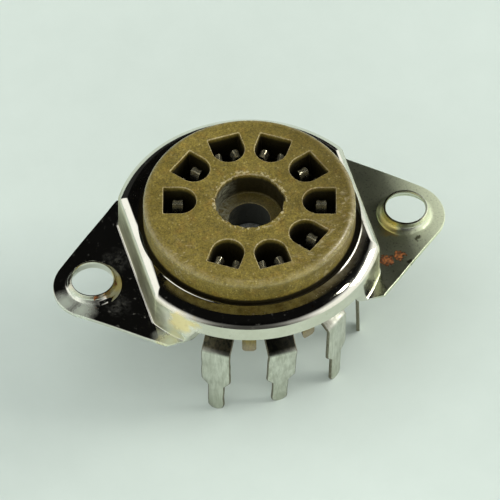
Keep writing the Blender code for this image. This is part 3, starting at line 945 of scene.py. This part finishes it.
def phenolic(name, dark, light, flake, gloss, dirt_and_shade=0.95):
    """Moulded phenolic, mottled and full of small flakes, worn and given a painted highlight at its edge,
    with painted shade in its holes.
    """
    s = Surface(name)
    edge = s.times(s.by_radius(8.5, 8.85), s.by_height(FACE, -0.8, -0.4))
    share, distance = s.grains(0.24)
    mica = s.times(s.between(share, 0.9, 0.96), s.between(distance, 0.4, 0.25))
    base = rubbed_and_highlit(s, moulded(s, dark, light), edge)
    base = s.blend(s.times(mica, 0.4), base, flake)
    # Painted shade goes into the holes, the crevice and the bore here.
    base = marked(s, painted_recess_shade(s, base, dirt_and_shade))
    roughness = s.between(s.noise(0.5, 4.0), 0.3, 0.7, gloss - 0.1, gloss + 0.12)
    roughness = s.maths("SUBTRACT", roughness, s.times(edge, 0.28), s.times(mica, 0.25))
    normal = s.bump(s.noise(0.12, 4.0, 0.7), 0.012)
    normal = s.bump(s.noise(1.6, 3.0), 0.05, 0.6, normal)
    return s.finish(colour=base, roughness=roughness, normal=normal, specular=0.5)


RUST_SPOTS = [
    (11.0, -4.6, 11.0, 0.62), (12.1, -4.3, 11.0, 0.55), (-14.3, -1.9, 11.6, 0.3), (-12.3, -0.75, 11.5, 0.32),
]
STAINED_SPOTS = [(2.5, -10.75, 15.2, 0.35), (-13.2, -1.6, 11.6, 0.5)]
SMEARED_SPOTS = [(-11.2, 1.9, 11.0, 1.5), (-12.5, -2.9, 11.0, 1.3)]
SOOTY_SPOTS = [(14.3, -2.95, 11.0, 0.33), (12.8, -5.25, 11.0, 0.36), (15.6, 0.4, 11.9, 0.2)]
TARNISH_SPOTS = [
    (-8.4, -7.6, 13.2, 1.4), (-7.2, -8.4, 14.0, 1.0), (-9.3, -7.9, 11.2, 1.2),
    (12.3, -0.9, 11.4, 1.3), (-12.3, -0.3, 11.5, 1.2),
]
# Where a painted highlight lightens the front-left of the boss's skirt.
SKIRT_HIGHLIGHT_SPOTS = [(-9.0, -8.2, 13.4, 2.6)]
WORN_SPOTS = [(-16.7, -1.1, 10.85, 1.6), (-15.7, -2.4, 10.9, 1.5), (-9.4, -7.9, 11.3, 1.8)]


def plate_marks(s):
    """How strongly each kind of mark shows on the plate, and the noises that looks share."""
    spot_edge = s.ragged(0.35, 0.28, 5.0, 0.7)
    on_boss = s.by_half_width(11.2, 10.9)
    above_ears = s.by_height(EAR_TOP, 0.03, 0.12)
    below_shelf = s.by_height(SHELF, -0.45, -0.75)
    right = s.maths("SUBTRACT", s.by_x(8.6, 9.2), s.times(above_ears, on_boss))
    dust = s.between(s.noise(0.4, 4.0, 0.6), 0.65, 0.75, 0.0, 0.22)
    smears = s.between(s.noise(0.3, 4.0), 0.4, 0.65, 0.0, 0.07)
    smears = s.times(s.near(SMEARED_SPOTS, s.ragged(0.8, 0.5), 0.0), smears)
    return SimpleNamespace(
        rust=s.near(RUST_SPOTS, spot_edge),
        stained=s.near(STAINED_SPOTS, spot_edge),
        sooty=s.near(SOOTY_SPOTS, spot_edge),
        tarnish=s.near(TARNISH_SPOTS, s.ragged(1.2, 0.5)),
        worn=s.near(WORN_SPOTS, s.ragged(0.8, 0.2), 0.2),
        # pale: a painted highlight on the front-left of the boss's skirt, kept off the shelf.
        pale=s.times(s.near(SKIRT_HIGHLIGHT_SPOTS, s.ragged(0.8, 0.4), 0.4), s.by_height(SHELF, -0.4, -0.8)),
        wall=s.times(above_ears, below_shelf, on_boss, s.by_half_width(8.4, 9.6, 0.3, 1.0)),
        right=s.times(s.maths("MAXIMUM", right, 0.0), s.by_height(EAR_TOP, 0.05, 0.2, 1.0, 0.45)),
        shelf=s.times(s.by_height(SHELF, -0.02, -0.005), s.by_height(SHELF, 0.05, 0.01)),
        dirt_and_shade=s.maths("MAXIMUM", dust, smears),
        smudge=s.noise(2.2, 5.0, 0.6),
        drawn=s.noise(0.4, 5.0, 0.65, 0.2, s.stretched((1.0, 0.3, 1.0))),
    )


def plate_colour(s, marks):
    """Warm nickel, greener where it is pitted or drawn, with grime, stains, dust and rust over it, and a
    painted highlight on the front-left of the skirt.
    """
    plate = s.ramp(marks.smudge, [(0.3, (0.68, 0.67, 0.57)), (0.7, (0.78, 0.77, 0.68))])
    pits = [(0.32, (0.26, 0.29, 0.17)), (0.42, (0.58, 0.64, 0.43)), (0.7, (0.66, 0.72, 0.50))]
    drawn = s.ramp(marks.drawn, [(0.3, (0.36, 0.36, 0.22)), (0.7, (0.58, 0.58, 0.40))])
    grimy = s.between(s.noise(0.8, 5.0, 0.7), 0.4, 0.62, 0.35, 0.75)
    collar_rim = s.times(s.by_half_width(10.9, 11.2), s.by_height(EAR_TOP, 0.66, 0.72))
    rust = s.ramp(s.noise(0.2, 4.0), [(0.42, (0.045, 0.017, 0.005)), (0.6, (0.30, 0.10, 0.024))])
    return s.layered(plate, [
        (s.times(marks.right, 0.85), s.ramp(s.noise(0.16, 4.0, 0.7), pits)),
        (s.times(marks.wall, 0.85), drawn),
        (s.times(marks.shelf, grimy), (0.15, 0.12, 0.06)),
        # Painted highlight on the front-left of the skirt.
        (s.times(marks.pale, 0.6), (0.86, 0.85, 0.70)),
        (s.times(marks.tarnish, 0.8), (0.84, 0.70, 0.30)),
        (s.times(collar_rim, 0.75), (0.20, 0.17, 0.09)),
        (s.times(marks.stained, 0.8), (0.50, 0.26, 0.05)),
        (s.times(marks.sooty, 0.85), (0.05, 0.05, 0.012)),
        (s.times(marks.worn, 0.7), (0.70, 0.80, 0.64)),
        (marks.dirt_and_shade, (0.42, 0.30, 0.16)),
        (s.between(marks.rust, 0.0, 0.35), rust),
    ])


def plate_roughness(s, marks, rusted):
    """Nearly a mirror, but satin on the right ear and the drawn walls, and rough at marks."""
    right_satin = s.by_x(9.5, 16.5, 0.2, 0.52)
    wall_satin = s.between(marks.drawn, 0.3, 0.7, 0.22, 0.32)
    wall_satin = s.maths("ADD", wall_satin, s.by_half_width(9.5, 9.9, 0.0, 0.2))
    return s.maths(
        "ADD",
        s.between(marks.smudge, 0.42, 0.75, 0.05, 0.12),
        s.times(marks.shelf, 0.12),
        s.times(marks.right, right_satin),
        s.times(marks.wall, wall_satin),
        s.times(s.by_radius(10.5, 9.7), s.by_x(2.0, 6.0), 0.3),
        s.between(s.noise(0.22, 5.0, 0.7), 0.6, 0.72, 0.0, 0.16),
        s.times(marks.worn, 0.3),
        s.times(rusted, 0.6),
    )


def nickel():
    """Bright nickel plate on pressed steel: wavy, smudged, tarnished and rusting in a few spots."""
    s = Surface("nickel_plate")
    marks = plate_marks(s)
    rusted = s.between(marks.rust, 0.25, 0.8)
    right_matt = s.times(marks.right, s.by_x(13.2, 17.0, 0.0, 0.55))
    # The painted highlight is also made less metallic, so the lamps light it.
    matt = s.maths(
        "MAXIMUM", right_matt, s.times(marks.worn, 0.5), marks.dirt_and_shade, s.times(marks.pale, 0.5), rusted)
    normal = s.bump(s.noise(3.2, 2.0, 0.5), 0.04)
    normal = s.bump(s.noise(0.25, 4.0, 0.6), 0.0008, 1.0, normal)
    normal = s.bump(marks.rust, 0.008, 1.0, normal)
    return s.finish(
        colour=plate_colour(s, marks), roughness=plate_roughness(s, marks, rusted),
        metallic=s.maths("SUBTRACT", 1.0, matt), normal=normal)


BURNT_SPOTS = [(0.23, -8.3, 8.6, 2.2)]


def tinned(name, light, dark, roughness):
    """Tinned bronze strip, streaked along its length, darkened above the bend by flux stains and by painted
    shade under the skirt.
    """
    s = Surface(name)
    streaks = s.noise(0.28, 4.0, 0.6, 0.3, s.stretched((1.0, 1.0, 0.16)))
    patches = s.noise(0.8, 4.0, 0.6)
    burnt_edge = s.between(patches, 0.3, 0.7, -0.3 * MM, 0.3 * MM)
    stained = s.by_height(TAIL_BEND, -0.1, 0.4)
    flux_stain_and_shade = s.ramp(streaks, [(0.35, (0.012, 0.012, 0.008)), (0.65, (0.10, 0.085, 0.04))])
    base = s.layered(s.ramp(streaks, [(0.3, dark), (0.62, light)]), [
        (s.between(patches, 0.5, 0.75, 0.0, 0.3), dark),
        # Above the bend: flux stain together with painted shade under the skirt.
        (s.times(stained, s.by_x(2.5, 4.5, 0.95, 0.5)), flux_stain_and_shade),
        (s.times(stained, s.near(BURNT_SPOTS, burnt_edge), 0.85), (0.008, 0.009, 0.008)),
        (s.times(s.by_height(0.0, 3.6, 0.8), 0.35), (0.42, 0.44, 0.33)),
    ])
    dull = s.between(patches, 0.3, 0.7, roughness - 0.04, roughness + 0.1)
    normal = s.bump(streaks, 0.012)
    normal = s.bump(s.noise(0.14, 3.0), 0.004, 1.0, normal)
    return s.finish(colour=base, roughness=dull, metallic=1.0, normal=normal)


def sheared():
    """The raw sheared edges of the strip, darker than its tinned faces."""
    s = Surface("sheared_edge")
    lines = s.noise(0.1, 3.0, 0.6, 0.0, s.stretched((1.0, 1.0, 0.3)))
    base = s.ramp(lines, [(0.3, (0.12, 0.11, 0.07)), (0.7, (0.34, 0.32, 0.24))])
    dull = s.between(lines, 0.3, 0.7, 0.4, 0.6)
    return s.finish(colour=base, roughness=dull, metallic=1.0, normal=s.bump(lines, 0.01))


def leaf_bronze():
    """Spring strip, bright at its rounded end and darkened with painted shade further down the hole."""
    s = Surface("spring_leaf")
    streaks = s.noise(0.2, 4.0, 0.6, 0.2, s.stretched((1.0, 1.0, 0.25)))
    base = s.ramp(streaks, [(0.3, (0.66, 0.61, 0.40)), (0.7, (0.9, 0.85, 0.62))])
    # Painted shade, darker further down the hole.
    base = s.blend(s.by_height(LEAF_TOP, -0.4, -1.1), base, (0.045, 0.04, 0.02))
    dull = s.between(streaks, 0.3, 0.7, 0.18, 0.3)
    return s.finish(colour=base, roughness=dull, metallic=0.9, normal=s.bump(streaks, 0.0015))


def floor_paper():
    s = Surface("pale_floor")
    base = s.ramp(s.noise(4.0, 5.0, 0.6), [(0.3, (0.61, 0.69, 0.63)), (0.7, (0.63, 0.71, 0.65))])
    return s.finish(colour=base, roughness=0.9, specular=0.1)


# Stage

CAMERA_AZIMUTH = -106.275
CAMERA_ELEVATION = 51.487
CAMERA_LENS = 842
CAMERA_DISTANCE = 1.0
CAMERA_RIGHT = 0.046 * MM
CAMERA_DOWN = 4.247 * MM
LIGHT_DISTANCE = 1.8

# Name, azimuth, elevation, width, height, power, colour, and whether metal mirrors it
LIGHTS = [
    ("left_window", 185, 60, 2.3, 2.1, 17, (0.97, 1.0, 1.0), False),
    ("top_panel", 30, 80, 2.4, 2.4, 9, (0.98, 1.0, 1.0), False),
    ("front_fill", -100, 20, 2.4, 0.9, 16, (0.98, 1.0, 1.0), False),
    ("right_fill", 15, 22, 2.0, 0.9, 10, (0.98, 1.0, 1.0), False),
    ("small_lamp", -20, 45, 0.2, 0.2, 2, (1.0, 0.98, 0.9), True),
    ("right_lamp", -6, 27, 0.8, 0.5, 13, (1.0, 0.99, 0.95), True),
]


def direction(azimuth, elevation):
    """The way from the socket towards an azimuth and an elevation in degrees."""
    turn = math.radians(azimuth)
    rise = math.radians(elevation)
    return Vector((math.cos(turn) * math.cos(rise), math.sin(turn) * math.cos(rise), math.sin(rise)))


def build_camera():
    """A long lens high in front of the socket and a little to its left."""
    turn = math.radians(CAMERA_AZIMUTH)
    back = direction(CAMERA_AZIMUTH, CAMERA_ELEVATION)
    right = Vector((-math.sin(turn), math.cos(turn), 0))
    up = back.cross(right)
    camera_data = bpy.data.cameras.new("camera")
    camera_data.sensor_width = 36
    camera_data.lens = CAMERA_LENS
    camera_data.clip_start = 0.05
    camera_data.clip_end = 50
    camera = added("camera", camera_data)
    place = Vector((0, 0, FACE)) + back * CAMERA_DISTANCE + right * CAMERA_RIGHT - up * CAMERA_DOWN
    facing = Matrix((right, up, back)).transposed().to_4x4()
    camera.matrix_world = Matrix.Translation(place) @ facing
    bpy.context.scene.camera = camera


def build_floor():
    def build(work):
        bmesh.ops.create_grid(work, x_segments=8, y_segments=8, size=3.0)
    floor = new_piece("floor", build)
    floor.data.materials.append(floor_paper())


def area_light(name, azimuth, elevation, width, height, power, colour, mirrored):
    data = bpy.data.lights.new(name, "AREA")
    data.shape = "RECTANGLE"
    data.size = width
    data.size_y = height
    data.energy = power
    data.color = colour
    light = added(name, data)
    light.visible_glossy = mirrored
    towards = direction(azimuth, elevation)
    light.location = towards * LIGHT_DISTANCE
    light.rotation_euler = (-towards).to_track_quat("-Z", "Y").to_euler()


def build_world():
    """A room that is pale low down and dark above, dimmer in front and at the back."""
    world = bpy.data.worlds.new("room")
    bpy.context.scene.world = world
    world.use_nodes = True
    w = Nodes(world.node_tree, "Generated")
    band = w.ramp(w.along("Z"), [(0.0, 1.0), (0.46, 1.0), (0.66, 0.004), (1.0, 0.004)])
    facing = w.node("ShaderNodeVectorMath", operation="DOT_PRODUCT")
    w.fill(facing, {0: w.place, 1: (-0.28, -0.96, 0.0)})
    front = w.between(facing.outputs["Value"], 0.5, 0.85, 1.25, 0.08)
    back = w.between(w.along("Y"), 0.66, 0.76, 1.0, 0.02)
    w.fill(w.tree.nodes["Background"], {"Color": band, "Strength": w.times(front, back)})


def build_stage():
    build_camera()
    build_floor()
    build_world()
    for light in LIGHTS:
        area_light(*light)
    bpy.context.scene.view_settings.view_transform = "Standard"


def main():
    build_stage()
    brown = phenolic("brown_phenolic", (0.122, 0.092, 0.014), (0.208, 0.160, 0.030), (0.55, 0.47, 0.22), 0.5)
    rim = phenolic("worn_phenolic_rim", (0.24, 0.19, 0.07), (0.42, 0.35, 0.17), (0.7, 0.62, 0.4), 0.45, 0.2)
    dark = phenolic("dark_phenolic", (0.20, 0.21, 0.19), (0.36, 0.37, 0.34), (0.4, 0.4, 0.34), 0.5, 0.3)
    build_insulator(brown, rim)
    build_retainer(dark)
    build_saddle(nickel())
    tin = tinned("tinned_strip", (0.72, 0.73, 0.64), (0.46, 0.47, 0.38), 0.36)
    edge = sheared()
    leaf = leaf_bronze()
    for number in range(1, CONTACT_COUNT + 1):
        build_contact(number, tin, edge)
        for letter in "ab":
            build_leaf(number, letter, leaf)


main()
